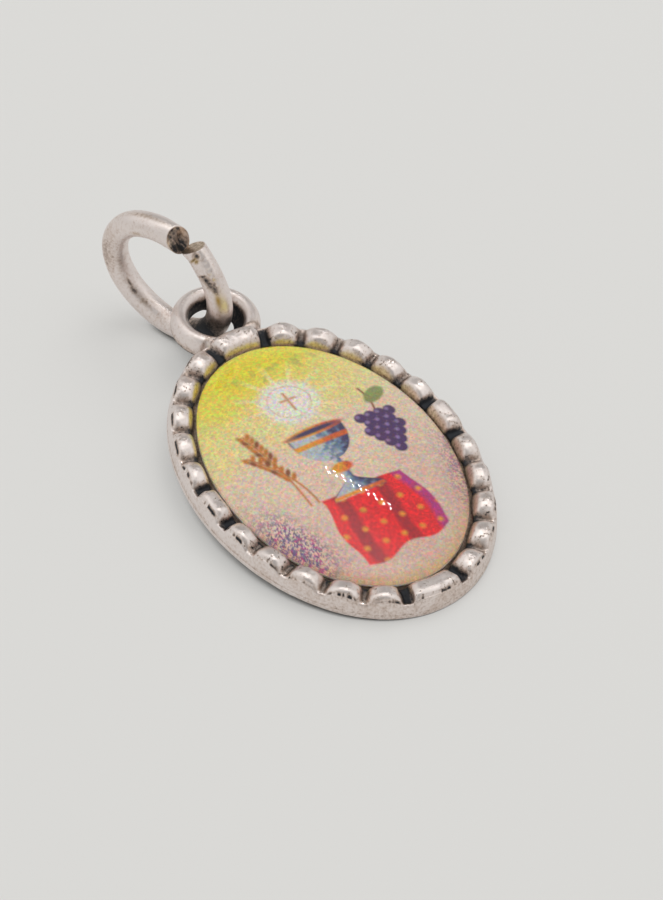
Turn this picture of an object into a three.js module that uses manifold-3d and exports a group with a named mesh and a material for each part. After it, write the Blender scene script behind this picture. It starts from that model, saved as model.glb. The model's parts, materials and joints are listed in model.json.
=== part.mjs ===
// Oval picture medal with a beaded border, a card picture under a clear dome, and an open split ring.
// Millimetres. The medal is built flat: +Y towards the loop, +Z out of the picture, back face at z = 0.
// It is then laid as it rests, propped on the ring's wire, with the surface it lies on at z = 0.
import * as THREE from 'three';
import Module from 'manifold-3d';

// Picture, and the border round it
const PICTURE_WIDTH = 10;
const PICTURE_LENGTH = 14;
const PICTURE_CLEARANCE = 0.1;
const SIDE_BORDER = 1.09;
const END_BORDER = 1.29;
const CREST_INSET = 0.44;
const BORDER_HEIGHT = 1.2;
const BACK_PLATE = 0.45;

// Bars and beads of the border, measured along its crest
const END_BAR = 2.7;
const SIDE_BAR = 2.1;
const BAR_ROUNDING = 0.5;
const BEAD_ARC = 65;
const BEADS_PER_QUARTER = 5;
const BEAD_GROOVE = 0.1;
const BAR_GROOVE = 0.24;

// Card and clear dome
const GLUE_LINE = 0.02;
const CARD_THICKNESS = 0.12;
const DOME_EDGE = 0.16;
const DOME_RISE = 1.0;

// Loop for the ring
const LOOP_REACH = 1.01;
const LOOP_HOLE_RADIUS = 1.15;
const LOOP_BAR = 0.77;
const LOOP_THICKNESS = 1.0;
const LOOP_SHOULDER = 0.45;
const LOOP_UNDER_ROUNDING = 0.2;
const LOOP_ROOT = 0.3;

// Split ring: its wire, its circle, and how it hangs in the loop
const WIRE = 1.15;
const RING_RADIUS = 2.65;
const RING_OVALITY = 0.07;
const RING_OVAL_TURN = 112;
const RING_CLEARANCE = 0.12;
const RING_YAW = 22.9;
const RING_LEAN = 3.1;
const RING_OFF_CENTRE = 0.17;
const RING_FAR_END = 183;
const RING_NEAR_END = 149;
const SPRING_START = 97;
const SPRING_OUT = 0.13;
const NEAR_END_ASIDE = 0.56;
const FAR_END_ASIDE = 0.04;

// Slants of the two cut ends against a square cut: outwards from the ring's middle, and aside
const FAR_CUT = { out: -0.45, aside: 0.33 };
const NEAR_CUT = { out: -0.45, aside: 0 };

// The propped medal also rocks a little to one side on its curved edge. Both are slopes.
const ROCK = -0.0145;
const STEEPEST_TIP = 0.5;

// Facets, and the steps in which the crest line is measured
const ARC_STEPS = 3;
const BAR_STEPS = 2;
const OVAL_STEPS = 96;
const LOOP_STEPS = 40;
const LOOP_OVER_STEPS = 6;
const LOOP_UNDER_STEPS = 2;
const WIRE_SIDES = 12;
const RING_STEPS = 46;
const CREST_STEPS = 4000;

const backHalfWidth = PICTURE_WIDTH / 2 + SIDE_BORDER;
const backHalfLength = PICTURE_LENGTH / 2 + END_BORDER;
const crestHalfWidth = backHalfWidth - CREST_INSET;
const crestHalfLength = backHalfLength - CREST_INSET;
const recessHalfWidth = PICTURE_WIDTH / 2 + PICTURE_CLEARANCE;
const recessHalfLength = PICTURE_LENGTH / 2 + PICTURE_CLEARANCE;
const cardBottom = BACK_PLATE + GLUE_LINE;
const domeBottom = cardBottom + CARD_THICKNESS + GLUE_LINE;
const loopY = backHalfLength + LOOP_REACH;
const wireRadius = WIRE / 2;

// The border's section, from the back face over the crest to the recess.
// across: 1 at the outer edge, 0 on the crest line, -1 at the recess; heights are shares of BORDER_HEIGHT.
const BORDER_SECTION = [
  { across: 0.82, bead: 0, groove: 0 },
  { across: 1, bead: 0.06, groove: 0.06 },
  { across: 0.8, bead: 0.58, groove: 0.5 },
  { across: 0.62, bead: 0.8, groove: 0.56 },
  { across: 0.3, bead: 0.96, groove: 0.56 },
  { across: 0, bead: 1, groove: 0.55 },
  { across: -0.35, bead: 0.94, groove: 0.53 },
  { across: -0.7, bead: 0.8, groove: 0.51 },
  { across: -1, bead: 0.62, groove: 0.49 },
];

// The dome's profile: share of the way out from its middle, and share of its rise.
const DOME_SECTION = [
  { out: 0.985, rise: 0.06 },
  { out: 0.93, rise: 0.2 },
  { out: 0.8, rise: 0.44 },
  { out: 0.6, rise: 0.7 },
  { out: 0.36, rise: 0.9 },
  { out: 0.14, rise: 0.985 },
];

const wasm = await Module();
wasm.setup();

function steel(color, roughness) {
  return new THREE.MeshStandardMaterial({ color, roughness, metalness: 1 });
}

// Point at angle t round an oval, clockwise from the loop end as seen from the front.
function ovalPoint(halfWidth, halfLength, t) {
  return new THREE.Vector2(halfWidth * Math.sin(t), halfLength * Math.cos(t));
}

function ovalNormal(halfWidth, halfLength, t) {
  return new THREE.Vector2(halfLength * Math.sin(t), halfWidth * Math.cos(t)).normalize();
}

// Distance inwards from a point, against its normal, to the oval of the recess.
function reachToRecess(point, normal) {
  const squareWidth = recessHalfWidth ** 2;
  const squareLength = recessHalfLength ** 2;
  const a = normal.x ** 2 / squareWidth + normal.y ** 2 / squareLength;
  const b = point.x * normal.x / squareWidth + point.y * normal.y / squareLength;
  const c = point.x ** 2 / squareWidth + point.y ** 2 / squareLength - 1;
  return (b - Math.sqrt(b * b - a * c)) / a;
}

// Lengths along the crest line from the loop end, at even steps of the angle round the oval.
function crestLengths() {
  const lengths = [0];
  let last = ovalPoint(crestHalfWidth, crestHalfLength, 0);
  for (let i = 1; i <= CREST_STEPS; i += 1) {
    const next = ovalPoint(crestHalfWidth, crestHalfLength, (i / CREST_STEPS) * 2 * Math.PI);
    lengths.push(lengths[i - 1] + next.distanceTo(last));
    last = next;
  }
  return lengths;
}

// The angle round the oval at which a length along the crest line is reached.
function angleAtLength(lengths, length) {
  const total = lengths[lengths.length - 1];
  const wanted = ((length % total) + total) % total;
  let low = 0;
  let high = lengths.length - 1;
  while (high - low > 1) {
    const middle = Math.floor((low + high) / 2);
    if (lengths[middle] <= wanted) {
      low = middle;
    } else {
      high = middle;
    }
  }
  const share = (wanted - lengths[low]) / (lengths[high] - lengths[low]);
  return ((low + share) / (lengths.length - 1)) * 2 * Math.PI;
}

// Bars at the four axis points with beads between them, as lengths along the crest from the loop end.
function borderPieces(total) {
  const quarter = total / 4;
  const beadPitch = (quarter - END_BAR / 2 - SIDE_BAR / 2) / BEADS_PER_QUARTER;
  const pieces = [];
  for (let side = 0; side < 4; side += 1) {
    const fromEnd = side % 2 === 0;
    const bar = fromEnd ? END_BAR : SIDE_BAR;
    pieces.push({ middle: side * quarter, half: (bar - BAR_GROOVE) / 2, rounding: BAR_ROUNDING });
    for (let i = 0; i < BEADS_PER_QUARTER; i += 1) {
      const middle = side * quarter + bar / 2 + (i + 0.5) * beadPitch;
      const half = (beadPitch - BEAD_GROOVE) / 2;
      pieces.push({ middle, half, rounding: half });
    }
  }
  return pieces;
}

// Samples along the border: the angle round the oval, and how far the piece has risen there (0 to 1).
function borderSamples() {
  const lengths = crestLengths();
  const samples = [];
  for (const piece of borderPieces(lengths[lengths.length - 1])) {
    const rounding = Math.min(piece.rounding, piece.half);
    const arc = THREE.MathUtils.degToRad(BEAD_ARC);
    const places = [];
    for (let i = 0; i <= ARC_STEPS; i += 1) {
      const turn = (1 - i / ARC_STEPS) * arc;
      const along = rounding * (1 - Math.sin(turn) / Math.sin(arc)) - piece.half;
      places.push({ along, rise: (Math.cos(turn) - Math.cos(arc)) / (1 - Math.cos(arc)) });
    }
    const straight = piece.half - rounding;
    const middles = straight > 0 ? BAR_STEPS : 0;
    for (let i = 1; i < middles; i += 1) {
      places.push({ along: straight * ((2 * i) / middles - 1), rise: 1 });
    }
    for (let i = straight > 0 ? ARC_STEPS : ARC_STEPS - 1; i >= 0; i -= 1) {
      places.push({ along: -places[i].along, rise: places[i].rise });
    }
    for (const place of places) {
      samples.push({ t: angleAtLength(lengths, piece.middle + place.along), rise: place.rise });
    }
  }
  return samples;
}

// A closed solid of rings of points, each ring as long as the first, with a point at either end.
function solidOfRings(bottom, rings, top) {
  const count = rings[0].length;
  const position = [bottom, ...rings.flat(), top].flatMap((point) => [point.x, point.y, point.z]);
  const last = 1 + rings.length * count;
  const index = [];
  for (let i = 0; i < count; i += 1) {
    const next = (i + 1) % count;
    index.push(0, 1 + i, 1 + next);
    index.push(last, last - count + next, last - count + i);
    for (let ring = 0; ring + 1 < rings.length; ring += 1) {
      const here = 1 + ring * count;
      const above = here + count;
      index.push(here + i, above + i, above + next);
      index.push(here + i, above + next, here + next);
    }
  }
  const geometry = new THREE.BufferGeometry();
  geometry.setAttribute('position', new THREE.Float32BufferAttribute(position, 3));
  geometry.setIndex(index);
  return geometry;
}

function toManifold(geometry) {
  const vertProperties = new Float32Array(geometry.attributes.position.array);
  const triVerts = new Uint32Array(geometry.index.array);
  return new wasm.Manifold(new wasm.Mesh({ numProp: 3, vertProperties, triVerts }));
}

function fromManifold(solid) {
  const mesh = solid.getMesh();
  const geometry = new THREE.BufferGeometry();
  geometry.setAttribute('position', new THREE.Float32BufferAttribute(mesh.vertProperties, 3));
  geometry.setIndex([...mesh.triVerts]);
  return geometry;
}

function ovalRing(halfWidth, halfLength, z) {
  const ring = [];
  for (let i = 0; i < OVAL_STEPS; i += 1) {
    const point = ovalPoint(halfWidth, halfLength, (i / OVAL_STEPS) * 2 * Math.PI);
    ring.push(new THREE.Vector3(point.x, point.y, z));
  }
  return ring;
}

function ovalPrism(halfWidth, halfLength, bottom, top) {
  const rings = [ovalRing(halfWidth, halfLength, bottom), ovalRing(halfWidth, halfLength, top)];
  return solidOfRings(new THREE.Vector3(0, 0, bottom), rings, new THREE.Vector3(0, 0, top));
}

// Dish with the beaded border: flat back, drafted wall, bars and beads, and the recess for the picture.
function dish() {
  const samples = borderSamples();
  const rings = BORDER_SECTION.map((row) => samples.map(({ t, rise }) => {
    const crest = ovalPoint(crestHalfWidth, crestHalfLength, t);
    const normal = ovalNormal(crestHalfWidth, crestHalfLength, t);
    const out = row.across > 0 ? row.across * CREST_INSET : row.across * reachToRecess(crest, normal);
    const height = BORDER_HEIGHT * (row.groove + (row.bead - row.groove) * rise);
    return new THREE.Vector3(crest.x + out * normal.x, crest.y + out * normal.y, height);
  }));
  const floor = rings[rings.length - 1].map((point) => new THREE.Vector3(point.x, point.y, BACK_PLATE));
  rings.push(floor);
  return solidOfRings(new THREE.Vector3(0, 0, 0), rings, new THREE.Vector3(0, 0, BACK_PLATE));
}

// Section of the loop's bar: flat underneath with rounded edges, and a full round over its shoulders.
function loopSection() {
  const middle = LOOP_HOLE_RADIUS + LOOP_BAR / 2;
  const half = LOOP_BAR / 2;
  const outerEdge = [];
  const innerEdge = [];
  for (let i = 0; i <= LOOP_UNDER_STEPS; i += 1) {
    const turn = (i / LOOP_UNDER_STEPS) * (Math.PI / 2);
    const reach = half - LOOP_UNDER_ROUNDING * (1 - Math.sin(turn));
    const height = LOOP_UNDER_ROUNDING * (1 - Math.cos(turn));
    outerEdge.push(new THREE.Vector2(middle + reach, height));
    innerEdge.unshift(new THREE.Vector2(middle - reach, height));
  }
  const over = [];
  for (let i = 0; i <= LOOP_OVER_STEPS; i += 1) {
    const turn = (i / LOOP_OVER_STEPS) * Math.PI;
    const height = LOOP_SHOULDER + (LOOP_THICKNESS - LOOP_SHOULDER) * Math.sin(turn);
    over.push(new THREE.Vector2(middle + half * Math.cos(turn), height));
  }
  return [...outerEdge, ...over, ...innerEdge];
}

// A closed section turned about the Z axis.
function turnedRing(section, steps) {
  const position = [];
  const index = [];
  const count = section.length;
  for (let i = 0; i < steps; i += 1) {
    const turn = (i / steps) * 2 * Math.PI;
    for (const point of section) {
      position.push(point.x * Math.cos(turn), point.x * Math.sin(turn), point.y);
    }
    const here = i * count;
    const there = ((i + 1) % steps) * count;
    for (let j = 0; j < count; j += 1) {
      const next = (j + 1) % count;
      index.push(here + j, there + j, there + next);
      index.push(here + j, there + next, here + next);
    }
  }
  const geometry = new THREE.BufferGeometry();
  geometry.setAttribute('position', new THREE.Float32BufferAttribute(position, 3));
  geometry.setIndex(index);
  return geometry;
}

// The cast setting: the dish and the loop outside it are one piece of metal.
function settingGeometry() {
  const loop = toManifold(turnedRing(loopSection(), LOOP_STEPS).translate(0, loopY, 0));
  const rootWidth = backHalfWidth - LOOP_ROOT;
  const rootLength = backHalfLength - LOOP_ROOT;
  const inside = toManifold(ovalPrism(rootWidth, rootLength, -LOOP_THICKNESS, 2 * LOOP_THICKNESS));
  return fromManifold(toManifold(dish()).add(loop.subtract(inside)));
}

function cardGeometry() {
  return ovalPrism(PICTURE_WIDTH / 2, PICTURE_LENGTH / 2, cardBottom, cardBottom + CARD_THICKNESS);
}

function domeGeometry() {
  const halfWidth = PICTURE_WIDTH / 2;
  const halfLength = PICTURE_LENGTH / 2;
  const edge = domeBottom + DOME_EDGE;
  const rings = [ovalRing(halfWidth, halfLength, domeBottom), ovalRing(halfWidth, halfLength, edge)];
  for (const { out, rise } of DOME_SECTION) {
    rings.push(ovalRing(halfWidth * out, halfLength * out, edge + DOME_RISE * rise));
  }
  return solidOfRings(new THREE.Vector3(0, 0, domeBottom), rings, new THREE.Vector3(0, 0, edge + DOME_RISE));
}

// The ring's own axes: its normal, the level direction in its plane away from the medal, and up in its plane.
function ringAxes() {
  const yaw = THREE.MathUtils.degToRad(RING_YAW);
  const lean = THREE.MathUtils.degToRad(RING_LEAN);
  const level = Math.cos(lean);
  const normal = new THREE.Vector3(level * Math.cos(yaw), level * Math.sin(yaw), Math.sin(lean));
  const away = new THREE.Vector3(-Math.sin(yaw), Math.cos(yaw), 0);
  const up = new THREE.Vector3().crossVectors(normal, away);
  return { normal, away, up };
}

// The ring's middle: its wire crosses the hole at half the loop's height, and its inner side clears the
// rounded lower edge of the loop's bar. Both hold where two circles in the ring's plane meet.
function ringCentre({ away, up }) {
  const crossing = new THREE.Vector3(0, loopY + RING_OFF_CENTRE, LOOP_THICKNESS / 2);
  const along = RING_OFF_CENTRE * away.y;
  const toBar = Math.sqrt(along * along + LOOP_HOLE_RADIUS ** 2 - RING_OFF_CENTRE ** 2) - along;
  const edgeAway = toBar + LOOP_UNDER_ROUNDING;
  const edgeUp = LOOP_UNDER_ROUNDING - LOOP_THICKNESS / 2;
  const distance = Math.hypot(edgeAway, edgeUp);
  const inside = RING_RADIUS - wireRadius - RING_CLEARANCE - LOOP_UNDER_ROUNDING;
  const reach = (RING_RADIUS ** 2 - inside ** 2 + distance ** 2) / (2 * distance);
  const height = Math.sqrt(RING_RADIUS ** 2 - reach ** 2);
  const centreAway = (reach * edgeAway - height * edgeUp) / distance;
  const centreUp = (reach * edgeUp + height * edgeAway) / distance;
  return crossing.addScaledVector(away, centreAway).addScaledVector(up, centreUp);
}

// A place on the wire's centre line, at an angle from the ring's lowest point. Past SPRING_START the wire
// springs outwards and aside, towards either end.
function wirePlace(axes, centre, angle) {
  const springStart = THREE.MathUtils.degToRad(SPRING_START);
  const ovalTurn = THREE.MathUtils.degToRad(RING_OVAL_TURN);
  const sprung = (Math.max(0, Math.abs(angle) - springStart) / (Math.PI - springStart)) ** 2;
  const oval = RING_RADIUS * (1 + RING_OVALITY * Math.cos(2 * (angle - ovalTurn)));
  const aside = angle < 0 ? NEAR_END_ASIDE : FAR_END_ASIDE;
  const outward = new THREE.Vector3()
    .addScaledVector(axes.away, Math.sin(angle))
    .addScaledVector(axes.up, -Math.cos(angle));
  const forward = new THREE.Vector3()
    .addScaledVector(axes.away, Math.cos(angle))
    .addScaledVector(axes.up, Math.sin(angle));
  const point = centre.clone()
    .addScaledVector(outward, oval + SPRING_OUT * sprung)
    .addScaledVector(axes.normal, aside * sprung);
  return { point, outward, forward };
}

// The wire's section at a place: its corners, each moved along the wire by the slant of the cut.
function wireSection({ point, outward, forward }, aside, cut) {
  const corners = [];
  for (let j = 0; j < WIRE_SIDES; j += 1) {
    const turn = (j / WIRE_SIDES) * 2 * Math.PI;
    const out = wireRadius * Math.cos(turn);
    const side = wireRadius * Math.sin(turn);
    corners.push(point.clone()
      .addScaledVector(outward, out)
      .addScaledVector(aside, side)
      .addScaledVector(forward, cut.out * out + cut.aside * side));
  }
  return corners;
}

// A cut end: the place moved on along the wire, so that no corner of the slanted cut falls back behind it.
function cutEnd(place, onward, cut) {
  const longest = wireRadius * Math.hypot(cut.out, cut.aside);
  const point = place.point.clone().addScaledVector(place.forward, onward * longest);
  return { ...place, point };
}

// Split ring: round wire on a slightly oval circle, sprung open, with slanted cutter marks for ends.
function ringGeometry() {
  const axes = ringAxes();
  const centre = ringCentre(axes);
  const nearAngle = THREE.MathUtils.degToRad(-RING_NEAR_END);
  const farAngle = THREE.MathUtils.degToRad(RING_FAR_END);
  const square = { out: 0, aside: 0 };
  const places = [];
  for (let i = 0; i <= RING_STEPS; i += 1) {
    const angle = THREE.MathUtils.lerp(nearAngle, farAngle, i / RING_STEPS);
    places.push(wirePlace(axes, centre, angle));
  }
  const nearEnd = cutEnd(places[0], -1, NEAR_CUT);
  const farEnd = cutEnd(places[RING_STEPS], 1, FAR_CUT);
  const nearSlant = { out: -NEAR_CUT.out, aside: -NEAR_CUT.aside };
  const rings = [
    wireSection(nearEnd, axes.normal, nearSlant),
    ...places.map((place) => wireSection(place, axes.normal, square)),
    wireSection(farEnd, axes.normal, FAR_CUT),
  ];
  return solidOfRings(nearEnd.point, rings, farEnd.point);
}

// Lowest reach of a geometry against an upward direction.
function lowestAlong(geometry, up) {
  const position = geometry.attributes.position;
  const point = new THREE.Vector3();
  let lowest = Infinity;
  for (let i = 0; i < position.count; i += 1) {
    lowest = Math.min(lowest, point.fromBufferAttribute(position, i).dot(up));
  }
  return lowest;
}

// The upward direction, seen from the flat medal, at which its edge and the ring meet one surface. The tip
// of the medal is narrowed down by halving its range.
function restingUp(setting, ring) {
  const halvings = 40;
  let low = 0;
  let high = STEEPEST_TIP;
  for (let i = 0; i < halvings; i += 1) {
    const tip = (low + high) / 2;
    const up = new THREE.Vector3(ROCK, tip, 1);
    if (lowestAlong(ring, up) < lowestAlong(setting, up)) {
      low = tip;
    } else {
      high = tip;
    }
  }
  return new THREE.Vector3(ROCK, (low + high) / 2, 1).normalize();
}

const setting = new THREE.Mesh(settingGeometry(), steel(0xbdb5b1, 0.32));
setting.name = 'setting';

const cardLook = new THREE.MeshStandardMaterial({ color: 0xd9cfa6, roughness: 0.7, metalness: 0 });
const card = new THREE.Mesh(cardGeometry(), cardLook);
card.name = 'picture_card';

const domeLook = new THREE.MeshStandardMaterial({ color: 0xf4f4f0, roughness: 0.05, metalness: 0 });
const dome = new THREE.Mesh(domeGeometry(), domeLook);
dome.name = 'resin_dome';

const ring = new THREE.Mesh(ringGeometry(), steel(0xb5aca6, 0.42));
ring.name = 'jump_ring';

const medal = new THREE.Group();
medal.add(setting, card, dome, ring);
medal.quaternion.setFromUnitVectors(restingUp(setting.geometry, ring.geometry), new THREE.Vector3(0, 0, 1));
medal.updateMatrixWorld(true);

// Origin on the surface that the medal lies on, in the middle of its footprint.
const box = new THREE.Box3().setFromObject(medal, true);
medal.position.set(-(box.min.x + box.max.x) / 2, -(box.min.y + box.max.y) / 2, -box.min.z);

const group = new THREE.Group();
group.add(medal);
group.updateMatrixWorld(true);

export default group;
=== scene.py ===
"""The looks of an oval picture medal: antiqued beaded border, print under a clear dome, open split ring.

Lengths are millimetres until a mesh is made. Each shape is worked out in the medal's own flat frame, with
its back at z = 0, +Y towards the loop and +Z out of the picture, and is then laid down as the frame lies.
"""

import json
import math

import bpy
import numpy as np
from bpy.props import FloatProperty, FloatVectorProperty, IntProperty, PointerProperty
from mathutils import Matrix, Vector


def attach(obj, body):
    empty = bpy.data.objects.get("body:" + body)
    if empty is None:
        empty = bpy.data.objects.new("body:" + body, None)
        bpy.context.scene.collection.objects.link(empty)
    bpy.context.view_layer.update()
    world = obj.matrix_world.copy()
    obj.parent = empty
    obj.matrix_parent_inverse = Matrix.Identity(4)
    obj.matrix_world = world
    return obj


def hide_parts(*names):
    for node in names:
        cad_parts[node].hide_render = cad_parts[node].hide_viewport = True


bl_info = {
    "name": "Oval picture medal",
    "version": (1, 0, 0),
    "blender": (4, 5, 0),
    "location": "3D View > Sidebar > Medal",
    "description": "Builds the finished surfaces of an oval picture medal round its frame",
    "category": "Object",
}

MM = 0.001

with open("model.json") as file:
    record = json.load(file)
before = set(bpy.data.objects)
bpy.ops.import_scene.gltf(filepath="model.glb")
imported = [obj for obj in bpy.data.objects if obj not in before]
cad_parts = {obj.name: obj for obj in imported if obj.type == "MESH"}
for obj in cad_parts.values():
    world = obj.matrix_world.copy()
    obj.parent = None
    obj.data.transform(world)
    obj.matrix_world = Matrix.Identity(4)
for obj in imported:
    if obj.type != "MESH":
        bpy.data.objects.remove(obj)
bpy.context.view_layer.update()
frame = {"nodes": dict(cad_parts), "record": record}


def lying_pose():
    """Rotation and place that lay the flat medal down: they put +Z against the back face's outward axis."""
    mounts = frame["record"]["mounts"]
    back = next(mount for mount in mounts if mount["name"] == "back_face")
    upward = -Vector(back["axis"])
    turn = Vector((0, 0, 1)).rotation_difference(upward)
    return np.array(turn.to_matrix()), np.array(back["pos_m"]) / MM


LAID, BACK_CENTRE = lying_pose()


def flat_box(node):
    """Lowest and highest corner of a frame node in the medal's own flat frame, in millimetres."""
    mesh = frame["nodes"][node].data
    points = np.empty(len(mesh.vertices) * 3, np.float32)
    mesh.vertices.foreach_get("co", points)
    flat = (points.reshape(-1, 3) / MM - BACK_CENTRE) @ LAID
    return flat.min(0), flat.max(0)


SETTING_LOW, SETTING_HIGH = flat_box("setting")
CARD_LOW, CARD_HIGH = flat_box("picture_card")
DOME_LOW, DOME_HIGH = flat_box("resin_dome")


def linear(hex_colour):
    """Linear red, green and blue of an sRGB colour written as hex."""
    values = np.array([int(hex_colour[i : i + 2], 16) for i in (1, 3, 5)]) / 255
    return tuple(np.where(values <= 0.04045, values / 12.92, ((values + 0.055) / 1.055) ** 2.4))


def length(name, description, millimetres):
    """A size that a user may change, kept in metres and shown in the scene's unit."""
    return FloatProperty(
        name=name, description=description, default=millimetres * MM, unit="LENGTH", precision=6
    )


def angle(name, description, degrees):
    """An angle that a user may change."""
    return FloatProperty(
        name=name, description=description, default=math.radians(degrees), subtype="ANGLE"
    )


def factor(name, description, value):
    """A plain number that a user may change."""
    return FloatProperty(name=name, description=description, default=value)


def colour(name, description, hex_colour):
    """A colour that a user may change."""
    return FloatVectorProperty(
        name=name, description=description, default=linear(hex_colour), subtype="COLOR", min=0, max=1
    )


class MedalBorder(bpy.types.PropertyGroup):
    """Sizes of the cast border's bars and beads."""

    crest_inset: length("Crest inset", "Crest line, inwards from the back's edge", 0.44)
    back_plate: length("Back plate", "Metal under the picture", 0.45)
    clearance: length("Clearance", "Recess, outwards from the picture's edge", 0.06)
    end_bar: length("End bar", "Pitch of the bars at the loop and at the foot", 2.7)
    side_bar: length("Side bar", "Pitch of the bars at either side", 2.1)
    bar_rounding: length("Bar rounding", "Length of a bar's rounded end", 0.5)
    bead_groove: length("Bead groove", "Flat floor between two beads", 0.1)
    bar_groove: length("Bar groove", "Flat floor beside a bar", 0.3)
    bead_arc: angle("Bead arc", "Slope at which a bead meets its groove", 65)
    beads: IntProperty(name="Beads", description="Beads in each quarter of the border", default=5)


class MedalLoop(bpy.types.PropertyGroup):
    """Sizes of the cast loop."""

    hole_radius: length("Hole radius", "Radius of the loop's hole", 1.15)
    bar: length("Bar", "Width of the loop's bar", 0.77)
    thickness: length("Thickness", "Height of the loop's bar", 1.0)
    shoulder: length("Shoulder", "Height at which the bar's sides round over", 0.45)
    under_rounding: length("Under rounding", "Rounding of the bar's lower edges", 0.2)
    draft: length("Draft", "How far the hole's wall leans inwards at its foot", 0.4)


class MedalRing(bpy.types.PropertyGroup):
    """Sizes and lie of the open split ring."""

    wire: length("Wire", "Thickness of the wire", 1.15)
    radius: length("Radius", "Radius of the wire's centre line", 2.65)
    clearance: length("Clearance", "Gap between the wire and the loop's bar", 0.12)
    off_centre: length("Off centre", "Where the wire crosses the hole, outwards from its middle", 0.17)
    spring_out: length("Spring out", "How far the sprung ends stand outwards", 0.13)
    near_aside: length("Near end aside", "How far the near end stands aside", 0.56)
    far_aside: length("Far end aside", "How far the far end stands aside", 0.04)
    ovality: factor("Ovality", "Out-of-round share of the ring's radius", 0.07)
    oval_turn: angle("Oval turn", "Turn of the ring's longest radius", 112)
    yaw: angle("Yaw", "Turn of the ring about the upright", 22.9)
    lean: angle("Lean", "Lean of the ring's axis", 3.1)
    far_end: angle("Far end", "Place of the far cut from the ring's lowest point", 183)
    near_end: angle("Near end", "Place of the near cut from the ring's lowest point", 149)
    spring_start: angle("Spring start", "Where the wire starts to spring open", 97)


class MedalFinish(bpy.types.PropertyGroup):
    """Colours of the metal, the resin and the paper."""

    silver: colour("Silver", "Worn silver plate", "#EDE3DF")
    silver_warm: colour("Warm silver", "Silver plate where it has yellowed", "#CDB9AC")
    # This dark colour is patina in the grooves, and also painted shade in the creases under the beads and on
    # the wire
    tarnish_and_shade: colour("Tarnish", "Blackened silver in the grooves", "#3C3E42")
    brass: colour("Brass", "Bare brass where the wire's plating is rubbed through", "#B89A58")
    resin: colour("Resin", "Clear doming resin", "#FDFDFB")
    paper: colour("Paper", "Edge of the printed card", "#E9E5DA")


class MedalStage(bpy.types.PropertyGroup):
    """Camera, lights and floor."""

    azimuth: angle("Azimuth", "Camera's turn round the flat medal", -37.67)
    elevation: angle("Elevation", "Camera's height over the flat medal", 46.52)
    roll: angle("Roll", "Camera's own roll", -7.8)
    distance: length("Distance", "Camera to the middle of the back face", 131.13)
    aim_right: length("Aim right", "Camera's shift to its own right", 0.051)
    aim_up: length("Aim up", "Camera's shift upwards in its own view", 0.944)
    floor: colour("Floor", "Pale acrylic that the medal lies on", "#9D9C9A")
    # Painted shade: the floor's colour where little of the sky reaches it
    painted_contact_shade: colour("Contact", "Acrylic where hardly any light reaches it", "#504B45")
    glow: factor("Glow", "Light that spreads inside the acrylic", 0.36)
    glow_tint: colour("Glow tint", "Colour of the light inside the acrylic", "#FFFFFD")
    sky: factor("Sky", "Strength of the white tent overhead", 1.0)
    horizon: factor("Horizon", "Strength of the tent at the level of the floor", 0.6)
    opening: factor("Opening", "Change of the tent's strength in its openings", -0.5)
    overhead: factor("Overhead", "Change of the tent's strength straight overhead", 0.7)
    key: factor("Key", "Power of the large soft light, in watts", 0.8)
    diode: factor("Diode", "Power of each small light in the row, in watts", 0.008)


def millimetres(settings, *names):
    """Values of the named lengths, in millimetres."""
    return [getattr(settings, name) / MM for name in names]


def smooth_step(low, high, value):
    """0 below low, 1 above high and an even S between them."""
    share = np.clip((value - low) / (high - low), 0, 1)
    return share * share * (3 - 2 * share)


def blend(first, second, share):
    """Second over first by a share given for each point."""
    return first + (np.asarray(second) - first) * np.asarray(share)[..., None]


def value_noise(x, y, size, seed):
    """Random values from -1 to 1 on a square lattice of a size, with smooth steps between its points."""
    cells = 256
    lattice = np.random.default_rng(seed).uniform(-1, 1, (cells, cells))
    u = x / size + cells / 2
    v = y / size + cells / 2
    column = np.floor(u).astype(int)
    row = np.floor(v).astype(int)
    across = smooth_step(0, 1, u - column)
    up = smooth_step(0, 1, v - row)
    corner = [lattice[(row + j) % cells, (column + i) % cells] for j in (0, 1) for i in (0, 1)]
    lower = corner[0] + (corner[1] - corner[0]) * across
    upper = corner[2] + (corner[3] - corner[2]) * across
    return lower + (upper - lower) * up


def ring_quads(rows, columns, closed=False):
    """Corner numbers of the quads between closed rings of points, ring after ring.

    The last ring joins the first one where the surface is closed. A quad faces the side from which its row
    step turns left to its column step.
    """
    row = np.arange(rows if closed else rows - 1)[:, None]
    above = (row + 1) % rows * columns
    here = row * columns
    column = np.arange(columns)
    after = (column + 1) % columns
    return np.stack([here + column, above + column, above + after, here + after], -1).reshape(-1, 4)


def capped_rings(rings, first, last):
    """Points and faces of a closed skin: a pole, rings of points, and a pole at the other end."""
    rows, columns = rings.shape[:2]
    points = np.concatenate([[first], rings.reshape(-1, 3), [last]])
    ring = np.arange(columns)
    after = np.roll(ring, -1)
    end = len(points) - 1
    quads = 1 + ring_quads(rows, columns)
    start_fan = np.stack([np.zeros(columns, int), 1 + ring, 1 + after], -1)
    end_ring = end - columns
    end_fan = np.stack([end_ring + ring, np.full(columns, end), end_ring + after], -1)
    return points, [*quads.tolist(), *start_fan.tolist(), *end_fan.tolist()]


def ring_normals(rings):
    """Outward unit normals of rings of points: the row step crossed with the step along the ring."""
    along = np.roll(rings, -1, 1) - np.roll(rings, 1, 1)
    onward = np.gradient(rings, axis=0)
    normal = np.cross(onward, along)
    return normal / np.maximum(np.linalg.norm(normal, axis=-1, keepdims=True), 1e-9)


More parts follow.
